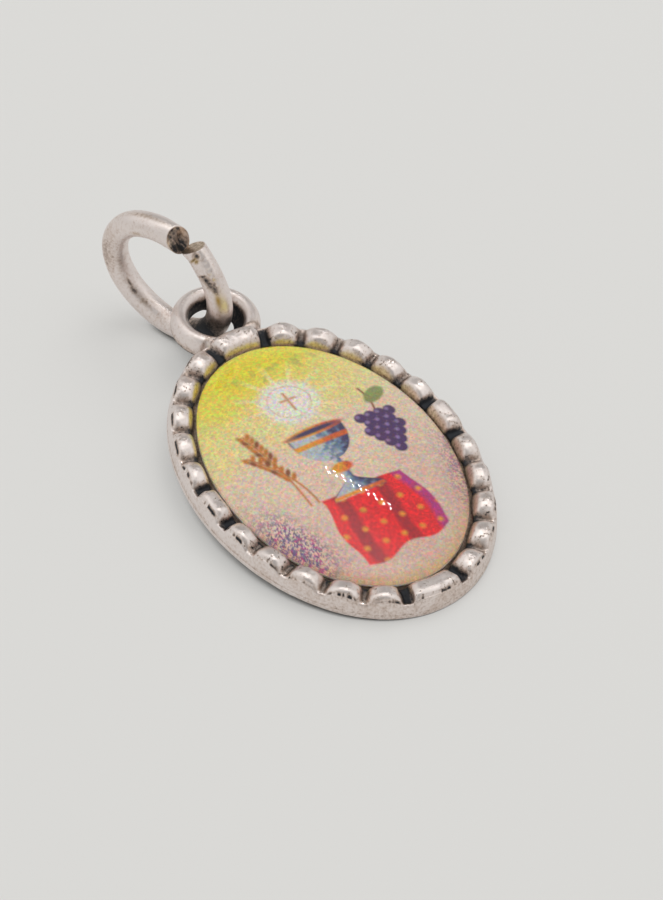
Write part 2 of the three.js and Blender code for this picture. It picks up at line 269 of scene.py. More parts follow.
def make_piece(name, points, faces, material, node, values=None, colours=None):
    """Lays flat points down as a smooth mesh with its attributes, under the root body, and hides the node it
    replaces.
    """
    world = (points @ LAID.T + BACK_CENTRE) * MM
    mesh = bpy.data.meshes.new(name)
    mesh.from_pydata(world.tolist(), [], faces)
    mesh.polygons.foreach_set("use_smooth", np.ones(len(mesh.polygons), bool))
    for title, value in (values or {}).items():
        mesh.attributes.new(title, "FLOAT", "POINT").data.foreach_set("value", np.float32(value))
    for title, value in (colours or {}).items():
        with_alpha = np.concatenate([value, np.ones((len(value), 1))], -1)
        layer = mesh.attributes.new(title, "FLOAT_COLOR", "POINT")
        layer.data.foreach_set("color", np.float32(with_alpha).ravel())
    mesh.materials.append(material)
    mesh.update()
    piece = bpy.data.objects.new(name, mesh)
    bpy.context.scene.collection.objects.link(piece)
    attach(piece, "root")
    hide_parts(node)


def add(tree, kind, inputs=None, result=0, **settings):
    """Adds a node with its settings, sets or links its inputs, and returns one of its outputs."""
    made = tree.nodes.new(kind)
    for name, value in settings.items():
        setattr(made, name, value)
    for name, value in (inputs or {}).items():
        if isinstance(value, bpy.types.NodeSocket):
            tree.links.new(value, made.inputs[name])
        else:
            made.inputs[name].default_value = value
    return made.outputs[result] if made.outputs else None


def new_material(name):
    """A material with an empty node tree."""
    material = bpy.data.materials.new(name)
    material.use_nodes = True
    material.node_tree.nodes.clear()
    return material, material.node_tree


def blotches(size, detail=2.0):
    """Settings of a noise whose blotches have a size in millimetres."""
    return {"Scale": 1 / (2 * size * MM), "Detail": detail, "Roughness": 0.6}


def between(low, high, first=0.0, last=1.0):
    """Settings of a ramp from one value to another."""
    return {"From Min": low, "From Max": high, "To Min": first, "To Max": last}


# Patterns of the metal in millimetres: the grain of the casting's skin, its blowholes, the patches that
# these gather in, the clouds of thin tarnish, and the height of the grain.
GRAIN_SIZE = 0.06
HOLE_SIZE = 0.06
PATCH_SIZE = 0.25
CLOUD_SIZE = 0.5
GRAIN_HEIGHT = 0.014


def metal_material(name, bright, warm, dark, wear, smooth, rough):
    """Silver plate that was blackened and wiped: bright where it was rubbed, matt and dark where it wasn't.

    The attribute of tarnish and painted shade says how much black stays, and grain breaks its edge up. The
    pitting attribute says where blowholes hold black. Thin tarnish only yellows the silver, in clouds, and
    the rubbed attribute shows the brass under it.
    """
    material, tree = new_material(name)
    soft = {"interpolation_type": "SMOOTHSTEP"}
    place = {"Vector": add(tree, "ShaderNodeTexCoord", result="Object")}
    grain = add(tree, "ShaderNodeTexNoise", place | blotches(GRAIN_SIZE, 3.0))
    cloud = add(tree, "ShaderNodeTexNoise", place | blotches(CLOUD_SIZE))
    fine = add(tree, "ShaderNodeTexNoise", place | blotches(HOLE_SIZE))
    coarse = add(tree, "ShaderNodeTexNoise", place | blotches(PATCH_SIZE))
    # Black that stays: patina, and painted shade where the pieces put it
    kept = add(tree, "ShaderNodeAttribute", result="Fac", attribute_name="tarnish_and_shade")
    pitted = add(tree, "ShaderNodeAttribute", result="Fac", attribute_name="pitting")
    rubbed = add(tree, "ShaderNodeAttribute", result="Fac", attribute_name="rubbed")
    holes = add(tree, "ShaderNodeMapRange", {"Value": fine} | between(0.58, 0.7), **soft)
    patchy = add(tree, "ShaderNodeMapRange", {"Value": coarse} | between(0.4, 0.6), **soft)
    pits = add(tree, "ShaderNodeMath", {0: holes, 1: patchy}, operation="MULTIPLY")
    pits = add(tree, "ShaderNodeMath", {0: pits, 1: pitted}, operation="MULTIPLY")
    film = add(tree, "ShaderNodeMath", {0: grain, 1: 0.9, 2: kept}, operation="MULTIPLY_ADD")
    film = add(tree, "ShaderNodeMath", {0: pits, 1: 0.6, 2: film}, operation="MULTIPLY_ADD")
    black = add(tree, "ShaderNodeMapRange", {"Value": film} | between(0.65, 1.5), **soft)
    thin = add(tree, "ShaderNodeMath", {0: cloud, 1: 0.5, 2: film}, operation="MULTIPLY_ADD")
    yellowed = add(tree, "ShaderNodeMapRange", {"Value": thin} | between(0.6, 1.25), **soft)
    plate = add(
        tree, "ShaderNodeMix", {0: yellowed, 6: (*bright, 1), 7: (*warm, 1)}, 2, data_type="RGBA"
    )
    plate = add(tree, "ShaderNodeMix", {0: rubbed, 6: plate, 7: (*wear, 1)}, 2, data_type="RGBA")
    skin = add(tree, "ShaderNodeMix", {0: black, 6: plate, 7: (*dark, 1)}, 2, data_type="RGBA")
    matt = add(tree, "ShaderNodeMapRange", {"Value": black} | between(0, 1, smooth, rough))
    matt = add(tree, "ShaderNodeMath", {0: grain, 1: 0.16, 2: matt}, operation="MULTIPLY_ADD")
    relief = add(tree, "ShaderNodeMath", {0: pits, 1: -2.0, 2: grain}, operation="MULTIPLY_ADD")
    bump = add(tree, "ShaderNodeBump", {"Height": relief, "Strength": 0.5, "Distance": GRAIN_HEIGHT * MM})
    look = {"Base Color": skin, "Metallic": 1.0, "Roughness": matt, "Normal": bump}
    shader = add(tree, "ShaderNodeBsdfPrincipled", look)
    add(tree, "ShaderNodeOutputMaterial", {"Surface": shader})
    return material


# Pitch of the print's dots in millimetres, and the least and the most that a dot keeps of red, green, blue
DOT_PITCH = 0.08
DARKEST_DOT = (0.82, 0.8, 0.72)
LIGHTEST_DOT = (1.17, 1.16, 1.24)


def print_material():
    """Inkjet print on photo paper, sealed under the resin: matt, with a fine grain of coloured dots.

    Each dot takes more or less of every ink, so flat colours look grainy.
    """
    material, tree = new_material("Inkjet_print")
    place = add(tree, "ShaderNodeTexCoord", result="Object")
    ink = add(tree, "ShaderNodeAttribute", result="Color", attribute_name="print")
    dots = add(tree, "ShaderNodeTexVoronoi", {"Vector": place, "Scale": 1 / (DOT_PITCH * MM)}, "Color")
    shift = add(
        tree,
        "ShaderNodeMapRange",
        {"Vector": dots, 9: DARKEST_DOT, 10: LIGHTEST_DOT},
        "Vector",
        data_type="FLOAT_VECTOR",
    )
    grained = add(
        tree, "ShaderNodeMix", {0: 1.0, 6: ink, 7: shift}, 2, data_type="RGBA", blend_type="MULTIPLY"
    )
    shader = add(tree, "ShaderNodeBsdfPrincipled", {"Base Color": grained, "Roughness": 0.6})
    add(tree, "ShaderNodeOutputMaterial", {"Surface": shader})
    return material


def resin_material(tint):
    """Doming resin, poured clear and self-levelled: glass-smooth, so small lights show in it as points.

    Shadow rays pass straight through, as nearly all of the light does through so thin a dome.
    """
    material, tree = new_material("Doming_resin")
    look = {"Base Color": (*tint, 1), "Roughness": 0.02, "IOR": 1.5, "Transmission Weight": 1.0}
    shader = add(tree, "ShaderNodeBsdfPrincipled", look)
    clear = add(tree, "ShaderNodeBsdfTransparent")
    shadow = add(tree, "ShaderNodeLightPath", result="Is Shadow Ray")
    mixed = add(tree, "ShaderNodeMixShader", {0: shadow, 1: shader, 2: clear})
    add(tree, "ShaderNodeOutputMaterial", {"Surface": mixed})
    return material


def oval(half_width, half_length, turn):
    """Points of an oval at angles from the loop end, clockwise as seen from the front."""
    return np.stack([half_width * np.sin(turn), half_length * np.cos(turn)], -1)


def oval_normal(half_width, half_length, turn):
    """Outward unit normals of that oval."""
    normal = np.stack([half_length * np.sin(turn), half_width * np.cos(turn)], -1)
    return normal / np.linalg.norm(normal, axis=-1, keepdims=True)


def reach_to_oval(points, normals, half_width, half_length):
    """Distances from points, against their normals, to an oval inside them: the root of a quadratic."""
    squares = np.array([half_width**2, half_length**2])
    a = (normals**2 / squares).sum(-1)
    b = (points * normals / squares).sum(-1)
    c = (points**2 / squares).sum(-1) - 1
    return (b - np.sqrt(b * b - a * c)) / a


# The border's section in steps from the back's edge over the crest to the recess. Across is 1 at the outer
# edge, 0 on the crest and -1 at the recess. Heights are shares of the border's height, on the crest of a
# bead and in a groove. Black is how much tarnish stays there, with painted shade in the crease under the
# beads, and pitted how rough the casting is.
SECTION_KEYS = ("across", "bead", "groove", "bead_black", "groove_black", "pitted")
SECTION_VALUES = (
    (0.86, 0.0, 0.0, 0.3, 0.3, 0.1),
    (0.95, 0.02, 0.02, 0.2, 0.2, 0.1),
    (1.0, 0.08, 0.08, 0.0, 0.0, 0.1),
    (0.995, 0.2, 0.2, 0.0, 0.0, 0.1),
    (0.965, 0.222, 0.222, 0.5, 0.5, 0.3),
    (0.965, 0.245, 0.245, 0.2, 0.2, 0.2),
    (0.9, 0.42, 0.4, 0.0, 0.0, 0.0),
    (0.84, 0.56, 0.48, 0.0, 0.0, 0.0),
    (0.78, 0.65, 0.53, 0.0, 0.0, 0.1),
    (0.73, 0.74, 0.565, 0.1, 0.0, 0.2),
    # Rows 0.69 to 0.58: the crease under a bead's outer end, whose black is partly patina and partly painted
    # shade
    (0.69, 0.79, 0.58, 0.5, 0.0, 0.5),
    (0.66, 0.775, 0.59, 1.2, 0.0, 0.6),
    (0.63, 0.8, 0.595, 1.2, 0.0, 0.7),
    (0.58, 0.87, 0.6, 0.7, 0.1, 0.9),
    (0.45, 0.935, 0.6, 0.0, 0.4, 1.0),
    (0.25, 0.98, 0.59, 0.0, 0.55, 1.0),
    (0.0, 1.0, 0.58, 0.0, 0.62, 1.0),
    (-0.3, 0.985, 0.57, 0.0, 0.68, 1.0),
    (-0.5, 0.965, 0.56, 0.0, 0.78, 0.9),
    (-0.62, 0.93, 0.555, 0.05, 0.85, 0.8),
    (-0.72, 0.87, 0.55, 0.15, 0.95, 0.6),
    (-0.82, 0.77, 0.545, 0.25, 1.0, 0.4),
    (-0.9, 0.66, 0.53, 0.35, 1.05, 0.3),
    (-0.96, 0.55, 0.51, 0.45, 1.1, 0.3),
    (-1.0, 0.47, 0.46, 0.6, 1.1, 0.3),
)
BORDER_SECTION = dict(zip(SECTION_KEYS, np.array(SECTION_VALUES).T))
# Width and height in millimetres that one unit of the section stands for, to space its rows evenly
SECTION_WIDTH = 0.6
SECTION_HEIGHT = 1.2
SECTION_ROWS = 74
BORDER_COLUMNS = 1130
CREST_STEPS = 4000


def section_row(title):
    """A column of the border's section, at even steps along a bead's own section and softened a little."""
    section = BORDER_SECTION
    steps = np.hypot(np.diff(section["across"]) * SECTION_WIDTH, np.diff(section["bead"]) * SECTION_HEIGHT)
    lengths = np.concatenate([[0], np.cumsum(steps)])
    even = np.interp(np.linspace(0, lengths[-1], SECTION_ROWS), lengths, section[title])
    padded = np.concatenate([even[:1], even, even[-1:]])
    return (padded[:-2] + 4 * padded[1:-1] + padded[2:]) / 6


# How far from the middle of a groove beside a bar it is fully deep, and deep at all, in millimetres
DEEP_CORE = 0.12
DEEP_REACH = 0.36


def border_layout(sizes, half_width, half_length):
    """Lays bars and beads out along the crest, the bars at the four axis points, the beads between them.

    For evenly spaced places it gives the angle round the oval, how far the place lies inside its bar or
    bead, that piece's rounding, and 1 in the deep grooves beside the bars.
    """
    turn = np.linspace(0, 2 * np.pi, CREST_STEPS + 1)
    crest = oval(half_width, half_length, turn)
    steps = np.linalg.norm(np.diff(crest, axis=0), axis=-1)
    lengths = np.concatenate([[0], np.cumsum(steps)])
    total = lengths[-1]
    end_bar, side_bar, rounding, bead_groove, bar_groove = millimetres(
        sizes, "end_bar", "side_bar", "bar_rounding", "bead_groove", "bar_groove"
    )
    pitch = (total / 4 - end_bar / 2 - side_bar / 2) / sizes.beads
    middles, halves, roundings = [], [], []
    for side in range(5):
        bar = end_bar if side % 2 == 0 else side_bar
        middles.append(side * total / 4)
        halves.append((bar - bar_groove) / 2)
        roundings.append(rounding)
        if side < 4:
            beads = side * total / 4 + bar / 2 + (np.arange(sizes.beads) + 0.5) * pitch
            middles.extend(beads)
            halves.extend([(pitch - bead_groove) / 2] * sizes.beads)
            roundings.extend([(pitch - bead_groove) / 2] * sizes.beads)
    middles, halves, roundings = np.array(middles), np.array(halves), np.array(roundings)
    place = np.linspace(0, total, BORDER_COLUMNS, endpoint=False)
    nearest = np.abs(place[:, None] - middles).argmin(-1)
    inside = halves[nearest] - np.abs(place - middles[nearest])
    bars = roundings == rounding
    grooves = middles[bars] + np.array([[-0.5], [0.5]]) * (halves[bars] * 2 + bar_groove)
    deep = smooth_step(DEEP_REACH, DEEP_CORE, np.abs(place[:, None] - grooves.ravel()).min(-1))
    return np.interp(place, lengths, turn), inside, roundings[nearest], deep


def risen(inside, rounding, arc):
    """How far a bar or bead has risen, 0 to 1, at a distance inside its end: a circular arc, then level."""
    share = np.clip(1 - inside / rounding, 0, 1)
    height = np.sqrt(1 - (share * math.sin(arc)) ** 2)
    return np.where(inside > 0, (height - math.cos(arc)) / (1 - math.cos(arc)), 0)


def flat_ring(half, turns, z):
    """A level ring of an oval's points."""
    return np.concatenate([half * turns, np.full((len(turns), 1), z)], -1)


# Skin of the casting in millimetres: size and depth of its broad and its fine waves. The smooth depth is
# everywhere, and the pitted depths come on top where it is pitted.
BROAD_WAVE = 0.4
FINE_WAVE = 0.16
SMOOTH_DEPTH = 0.004
PITTED_DEPTH = 0.012
FINE_DEPTH = 0.01


def skin_waves(rings, pitted):
    """Depths of the casting's skin at its points: two sets of waves, stronger where it is pitted."""
    x, y, z = np.moveaxis(rings, -1, 0)
    broad = value_noise(x + 0.7 * z, y - 0.6 * z, BROAD_WAVE, 3)
    fine = value_noise(x - 0.5 * z, y + 0.8 * z, FINE_WAVE, 4)
    return (SMOOTH_DEPTH + PITTED_DEPTH * pitted) * (broad + 1) + FINE_DEPTH * pitted * (fine + 1)


# How far the border's black departs from its section's: how black the recess is, how much blacker the
# grooves beside the bars are, and how much darker the wall gets towards the medal's foot.
RECESS_TARNISH = 0.6
DEEP_TARNISH = 0.45
FOOT_DARKENING = 0.24


def border_tarnish_and_shade(x, y, across, rise, deep, shade_flank):
    """Tarnish and painted shade of the border's rings: the section's, from groove to bead by how far the
    piece has risen.

    In the creases under the beads the black stays in patches, partly patina and partly painted shade, and
    lies more on one side of a bead than on the other, which is painted shade. The flank sign is 1 where a
    bead rises and -1 where it falls.
    """
    bead, groove = (section_row(key)[:, None] for key in ("bead_black", "groove_black"))
    # Painted shade: the crease's black leans to one side of each bead
    patchy = value_noise(x, y, 0.3, 6) + 0.5 * value_noise(x, y, 0.1, 7) + 0.4 * shade_flank
    crease = (across > 0.5) & (across < 0.76)
    bead = bead * np.where(crease, smooth_step(-0.3, 0.4, patchy), 1)
    groove = groove + DEEP_TARNISH * deep * smooth_step(0.66, 0.3, across)
    black = groove + (bead - groove) * smooth_step(0.04, 0.75, rise)
    return np.maximum(black, FOOT_DARKENING * (across > 0.5) * smooth_step(-1, -8, y))


# Beads are shorter towards their foot, up to a share of the way down, and towards the picture. Grooves run
# back into the border at their inner end, and the lowest ring of the recess's wall stands off its floor.
# These are millimetres, and how much deeper the grooves beside the bars are is a share of the height.
FOOT_NARROWING = 0.26
FOOT_SHARE = 0.7
INNER_NARROWING = 0.06
SCALLOP = 0.08
RECESS_FILLET = 0.02
DEEPER = 0.05
# Rings of the back and of the recess's floor, as shares of their edges
UNDER_SHARES = (0.5, 0.9, 0.985)
FLOOR_SHARES = (0.985, 0.5)


def cast_border(sizes):
    """Rings of points from the dish's back over the border to the recess floor, with tarnish and painted
    shade.

    Each ring is the crest's oval moved along its normal by the section's across, at the section's height
    between groove and bead by how far the piece has risen. Beads narrow towards their foot and towards the
    picture, so their ends are round in plan, and the grooves run back into the border at their inner end.
    """
    inset, plate, clearance = millimetres(sizes, "crest_inset", "back_plate", "clearance")
    back = np.array([SETTING_HIGH[0], -SETTING_LOW[1]])
    crest_half = back - inset
    recess_half = CARD_HIGH[:2] + clearance
    height = SETTING_HIGH[2]
    turn, inside, rounding, deep = border_layout(sizes, *crest_half)
    crest = oval(*crest_half, turn)
    normal = oval_normal(*crest_half, turn)
    inner = reach_to_oval(crest, normal, *recess_half)
    across, bead, groove = (section_row(key)[:, None] for key in ("across", "bead", "groove"))
    to_foot = FOOT_NARROWING * np.minimum(across, FOOT_SHARE) ** 2
    narrowing = np.where(across > 0, to_foot, INNER_NARROWING * across**2)
    rise = risen(inside - narrowing, rounding, sizes.bead_arc)
    scallop = SCALLOP * (1 - rise) * smooth_step(-0.5, -1, across)
    out = np.where(across > 0, across * inset, across * inner + scallop)
    groove = groove - DEEPER * deep * smooth_step(0.7, 0.3, across)
    z = height * (groove + (bead - groove) * rise)
    x, y = (crest[:, i] + out * normal[:, i] for i in (0, 1))
    rings = np.stack(np.broadcast_arrays(x, y, z), -1)
    black = border_tarnish_and_shade(x, y, across, rise, deep, np.sign(np.gradient(inside)))
    pitted = section_row("pitted")[:, None] * np.ones(rise.shape)
    rings = rings - ring_normals(rings) * skin_waves(rings, pitted)[..., None]
    turns = np.stack([np.sin(turn), np.cos(turn)], -1)
    edge = back - inset * (1 - section_row("across")[0])
    under = np.stack([flat_ring(edge * share, turns, 0) for share in UNDER_SHARES])
    low = rings[-1:].copy()
    low[..., 2] = plate + RECESS_FILLET
    recess = np.stack([*low, *(flat_ring(recess_half * share, turns, plate) for share in FLOOR_SHARES)])
    plain_under, plain_recess = np.zeros(under.shape[:2]), np.zeros(recess.shape[:2])
    tarnish_and_shade = np.concatenate([plain_under, black, plain_recess + RECESS_TARNISH])
    pitting = np.concatenate([plain_under, pitted, plain_recess])
    return np.concatenate([under, rings, recess]), tarnish_and_shade, pitting, plate


# Points of a rounded edge, and of the half circle over the loop's bar
ROUNDING_STEPS = 8
ROUND_STEPS = 32


def loop_section(sizes):
    """Closed section of the loop's bar as radius and height: flat under, round at its edges and over it."""
    hole, bar, thickness, shoulder, under = millimetres(
        sizes, "hole_radius", "bar", "thickness", "shoulder", "under_rounding"
    )
    middle = hole + bar / 2
    quarter = np.linspace(0, np.pi / 2, ROUNDING_STEPS)
    reach = bar / 2 - under * (1 - np.sin(quarter))
    low = under * (1 - np.cos(quarter))
    half = np.linspace(0, np.pi, ROUND_STEPS)[1:-1]
    over = shoulder + (thickness - shoulder) * np.sin(half)
    radius = np.concatenate([middle + reach, middle + bar / 2 * np.cos(half), middle - reach[::-1]])
    return radius, np.concatenate([low, over, low[::-1]])


LOOP_COLUMNS = 144
# Where the ring's wire lies in the loop's hole, as an angle round it
WIRE_SIDE = math.radians(113)
# Where the loop runs into the border: how much it sinks, as a share of its height, and how far its back is
# raised, in millimetres. Then the size of its skin's waves and half their depth, in millimetres.
LOOP_SINK = 0.3
LOOP_RAISE = 0.06
LOOP_WAVE = 0.5
LOOP_WAVE_DEPTH = 0.008
# Tarnish of the hole's wall, of the seam at the border and of the loop's underside
HOLE_TARNISH = 1.0
SEAM_TARNISH = 0.5
UNDER_TARNISH = 0.8


def cast_loop(sizes):
    """Points of the loop, its section turned about the hole's axis, and their tarnish.

    It sinks where it runs into the border, and its back is raised a little there, so that the two backs
    don't share a face. The hole's wall leans inwards as it was drawn from the mould, apart from where the
    wire lies. It keeps its black, and so does the seam at the border.
    """
    radius, height = loop_section(sizes)
    hole, bar, draft = millimetres(sizes, "hole_radius", "bar", "draft")
    centre_y = SETTING_HIGH[1] - hole - bar
    turn = np.linspace(0, 2 * np.pi, LOOP_COLUMNS, endpoint=False)[:, None]
    lean = smooth_step(0.5, 0.05, height) * smooth_step(hole + bar / 2, hole, radius)
    drawn = radius - draft * lean * smooth_step(0.9, 0.6, np.cos(turn - WIRE_SIDE))
    x = drawn * np.cos(turn)
    y = centre_y + drawn * np.sin(turn)
    within = np.hypot(x / SETTING_HIGH[0], y / -SETTING_LOW[1])
    sunk = height * (1 - LOOP_SINK * smooth_step(1.0, 0.95, within))
    z = np.maximum(sunk, LOOP_RAISE * smooth_step(0.985, 0.94, within))
    z = z - LOOP_WAVE_DEPTH * (value_noise(x, y, LOOP_WAVE, 5) + 1) * smooth_step(0.1, 0.3, z)
    inner = HOLE_TARNISH * smooth_step(hole + 0.2, hole, radius) * smooth_step(0.95, 0.6, height)
    seam = SEAM_TARNISH * smooth_step(0.02, 0.0, np.abs(within - 1))
    under = UNDER_TARNISH * smooth_step(0.3, 0.1, height)
    return np.stack([x, y, z], -1), np.maximum(np.maximum(inner, under), seam)


def ring_pose(sizes, loop):
    """The ring's normal, its level direction away from the medal, its upward direction, and its middle.

    The wire crosses the loop's hole at half height and its inner side clears the lower edge of the loop's
    bar; the middle is where two circles in the ring's plane meet.
    """
    hole, bar, thickness, under = millimetres(loop, "hole_radius", "bar", "thickness", "under_rounding")
    wire, radius, clearance, off = millimetres(sizes, "wire", "radius", "clearance", "off_centre")
    yaw, lean = sizes.yaw, sizes.lean
    level = math.cos(lean)
    normal = np.array([level * math.cos(yaw), level * math.sin(yaw), math.sin(lean)])
    away = np.array([-math.sin(yaw), math.cos(yaw), 0])
    up = np.cross(normal, away)
    crossing = np.array([0, SETTING_HIGH[1] - hole - bar + off, thickness / 2])
    along = off * away[1]
    to_bar = math.sqrt(along**2 + hole**2 - off**2) - along
    edge_away = to_bar + under
    edge_up = under - thickness / 2
    distance = math.hypot(edge_away, edge_up)
    inside = radius - wire / 2 - clearance - under
    reach = (radius**2 - inside**2 + distance**2) / (2 * distance)
    height = math.sqrt(radius**2 - reach**2)
    centre = crossing + away * (reach * edge_away - height * edge_up) / distance
    return normal, away, up, centre + up * (reach * edge_up + height * edge_away) / distance


# Marks on the wire: dents of cutters and pliers, and three rows of painted shade without a dent, where the
# wire lies in the loop's hole and along one limb. Each has its place along it and round it, in degrees,
# length and width of the dent in millimetres, its depth, and how much black or bare brass it shows.
MARK_KEYS = ("along", "round", "long", "wide", "deep", "black", "brass")
MARK_VALUES = (
    (-147, -54, 0.12, 0.16, 0.09, 0.95, 0.0),
    (-146, -86, 0.06, 0.28, 0.05, 0.7, 0.9),
    (-143.5, -72, 0.07, 0.14, 0.04, 0.6, 0.9),
    (-128.5, -88, 0.07, 0.24, 0.05, 0.9, 0.0),
    (-124, -80, 0.22, 0.24, 0.08, 0.9, 0.0),
    (-119.5, -72, 0.22, 0.22, 0.08, 0.85, 0.0),
    (-118.5, -48, 0.14, 0.12, 0.06, 0.8, 0.0),
    (-114.5, -54, 0.2, 0.2, 0.07, 0.85, 0.0),
    (-143, -26, 0.12, 0.24, 0.035, 0.0, 0.0),
    (-137, -34, 0.08, 0.2, 0.04, 0.0, 0.0),
    (-132.5, -38, 0.08, 0.22, 0.04, 0.0, 0.0),
    (-128, -46, 0.07, 0.16, 0.04, 0.0, 0.1),
    (-122, -34, 0.1, 0.18, 0.04, 0.1, 0.0),
    (-105, -55, 0.28, 0.14, 0.015, 0.15, 1.0),
    # These two rows are painted shade: black where the wire lies in the loop's hole, without a dent
    (-62, -110, 1.0, 1.0, 0.0, 1.2, 0.1),
    (-45, -80, 0.8, 1.2, 0.0, 1.2, 0.1),
    (56, -146, 0.3, 0.07, 0.015, 0.8, 0.0),
    (45, -142, 0.35, 0.12, 0.02, 0.75, 0.0),
    (28, -144, 0.45, 0.14, 0.0, 0.4, 0.1),
    (85, -140, 1.2, 0.2, 0.0, 0.3, 0.0),
    # Painted shade: a broad darkening along one limb, without a dent
    (95, -80, 1.2, 0.5, 0.0, 0.4, 0.0),
    (160, -8, 0.9, 0.12, 0.01, 0.35, 0.1),
    (150, -105, 0.3, 0.1, 0.01, 0.35, 0.2),
)
WIRE_MARKS = [dict(zip(MARK_KEYS, values)) for values in MARK_VALUES]
WIRE_ROUND = 96
WIRE_ALONG = 420
CAP_ROWS = 18
# How each cut face slants outwards and aside, and how deep the metal tore in it, in wire radii
NEAR_CUT = {"out": -0.45, "aside": 0.0, "torn": 0.0}
FAR_CUT = {"out": -0.45, "aside": 0.33, "torn": 0.3}
NEAR_CUT_BRASS = 0.35
# Where the near limb is pressed flat and by which share, and where the far end flares and by which share
PRESS_START, PRESS_END = math.radians(-84), math.radians(-112)
PRESSED = 0.3
FLARE_START, FLARE_END = math.radians(170), math.radians(182)
FLARED = 0.2


def split_ring(sizes, loop):
    """Points of the ring's skin with its tarnish, painted shade and rubbed brass.

    A round section is carried along a slightly oval circle, whose ends spring outwards and aside by the
    square of the angle past the spring's start. Pliers have pressed one flank of the near limb flat, and
    the cutter has squeezed the far end. Both ends are closed by rings that shrink towards a slanted cut.
    """
    normal, away, up, centre = ring_pose(sizes, loop)
    wire, ring_radius, spring, near_aside, far_aside = millimetres(
        sizes, "wire", "radius", "spring_out", "near_aside", "far_aside"
    )
    half = wire / 2
    along = np.linspace(-sizes.near_end, sizes.far_end, WIRE_ALONG)
    closing = np.linspace(0.03, 1, CAP_ROWS)
    shares = np.concatenate([closing, np.ones(WIRE_ALONG), closing[::-1]])[:, None]
    side = np.repeat([-1, 0, 1], [CAP_ROWS, WIRE_ALONG, CAP_ROWS])[:, None]
    stations = np.concatenate([np.full(CAP_ROWS, along[0]), along, np.full(CAP_ROWS, along[-1])])[:, None]
    sprung = (np.maximum(0, np.abs(stations) - sizes.spring_start) / (np.pi - sizes.spring_start)) ** 2
    oval_radius = ring_radius * (1 + sizes.ovality * np.cos(2 * (stations - sizes.oval_turn)))
    aside = np.where(stations < 0, near_aside, far_aside) * sprung
    outward = away * np.sin(stations) - up * np.cos(stations)
    forward = away * np.cos(stations) + up * np.sin(stations)
    middle = centre + outward * (oval_radius + spring * sprung) + normal * aside
    turn = np.linspace(0, 2 * np.pi, WIRE_ROUND, endpoint=False)
    radius, black, brass = wire_marks(half, ring_radius, stations, turn)
    pressed = 1 - PRESSED * smooth_step(PRESS_START, PRESS_END, stations)
    flare = smooth_step(FLARE_START, FLARE_END, stations)
    out = radius * shares * np.cos(turn)
    out = np.where(out < 0, out * (1 + FLARED * flare), out)
    across = radius * shares * np.sin(turn) * (1 - 0.5 * FLARED * flare)
    across = np.where(across < 0, across * pressed, across)
    cuts = [cut_face(out / half, across / half, shares, cut) for cut in (NEAR_CUT, FAR_CUT)]
    reach = np.where(side < 0, -cuts[0], np.where(side > 0, cuts[1], 0)) * half
    offsets = outward[:, None] * out[..., None] + normal * across[..., None]
    rings = middle[:, None] + offsets + forward[:, None] * reach[..., None]
    face = np.abs(side) * smooth_step(1.0, 0.9, shares)
    grime = face * np.where(side < 0, *cut_grime(out, across))
    return rings, np.maximum(black, grime), np.maximum(brass, face * NEAR_CUT_BRASS * (side < 0))


def cut_grime(out, across):
    """Tarnish of the near and of the far cut face, in streaks: the far one is blacker, most at its inner
    edge and least towards its open side."""
    streaks = value_noise(3 * across + 0.8 * out, out, 0.22, 23)
    shaded = 0.4 * smooth_step(0.0, -0.4, out) - 0.25 * smooth_step(0.1, 0.4, across)
    return 0.4 + 0.1 * streaks, 0.6 + 0.3 * streaks + shaded


def cut_face(out, across, shares, cut):
    """How far a cut face reaches past the wire's last station, in wire radii, at places in its section.

    Inside its rim it sinks to both sides of the ridge where the cutter's jaws met, and where metal tore.
    """
    slant = math.hypot(cut["out"], cut["aside"]) + cut["out"] * out + cut["aside"] * across
    ridge = 0.4 * cut["torn"] * np.abs(0.5 * out - 0.85 * across - 0.1)
    torn = cut["torn"] * np.exp(-(((out + 0.2) / 0.6) ** 2) - ((across - 0.3) / 0.3) ** 2)
    return slant - (ridge + torn) * (1 - shares**8)


# Unevenness of the drawn and hand-bent wire: size and depth of its broad and fine waves in millimetres, and
# the thin tarnish in the hollows of the broad ones
BENT_WAVE, BENT_DEPTH = 0.7, 0.008
DRAWN_WAVE, DRAWN_DEPTH = 0.2, 0.003
HOLLOW_TARNISH = 0.12


def wire_marks(half, ring_radius, stations, turn):
    """The wire's radius, black and bare brass at each place: its unevenness, and a round dent for each of
    the listed marks, which falls off as the exponential of minus the squared distance. The black is tarnish,
    and painted shade for the shade marks."""
    x = stations * ring_radius
    wrapped = np.minimum(turn, 2 * np.pi - turn) * half
    broad = value_noise(x, wrapped, BENT_WAVE, 21)
    fine = value_noise(x, wrapped, DRAWN_WAVE, 22)
    radius = half - BENT_DEPTH * (broad + 1) - DRAWN_DEPTH * (fine + 1)
    black = HOLLOW_TARNISH * smooth_step(0.2, 0.9, broad) * np.ones(radius.shape)
    brass = np.zeros(radius.shape)
    for mark in WIRE_MARKS:
        along = x - math.radians(mark["along"]) * ring_radius
        gap = np.angle(np.exp(1j * (turn - math.radians(mark["round"])))) * half
        dent = np.exp(-((along / mark["long"]) ** 2) - (gap / mark["wide"]) ** 2)
        radius = radius - mark["deep"] * dent
        black = np.maximum(black, mark["black"] * dent)
        brass = np.maximum(brass, mark["brass"] * dent)
    return radius, black, brass


# Fits of the dome and the card in millimetres: how far both stay inside their solids' edge, how far the
# dome's bottom reaches into the print, the height of the dome's upright edge and its fillet, and how much
# the card's edges are eased.
TRIM = 0.05
BOND = 0.012
DOME_EDGE = 0.16
DOME_FILLET = 0.05
CARD_EASE = 0.01
DOME_COLUMNS = 360
DOME_ROWS = 90
CARD_COLUMNS = 720
CARD_ROWS = 124


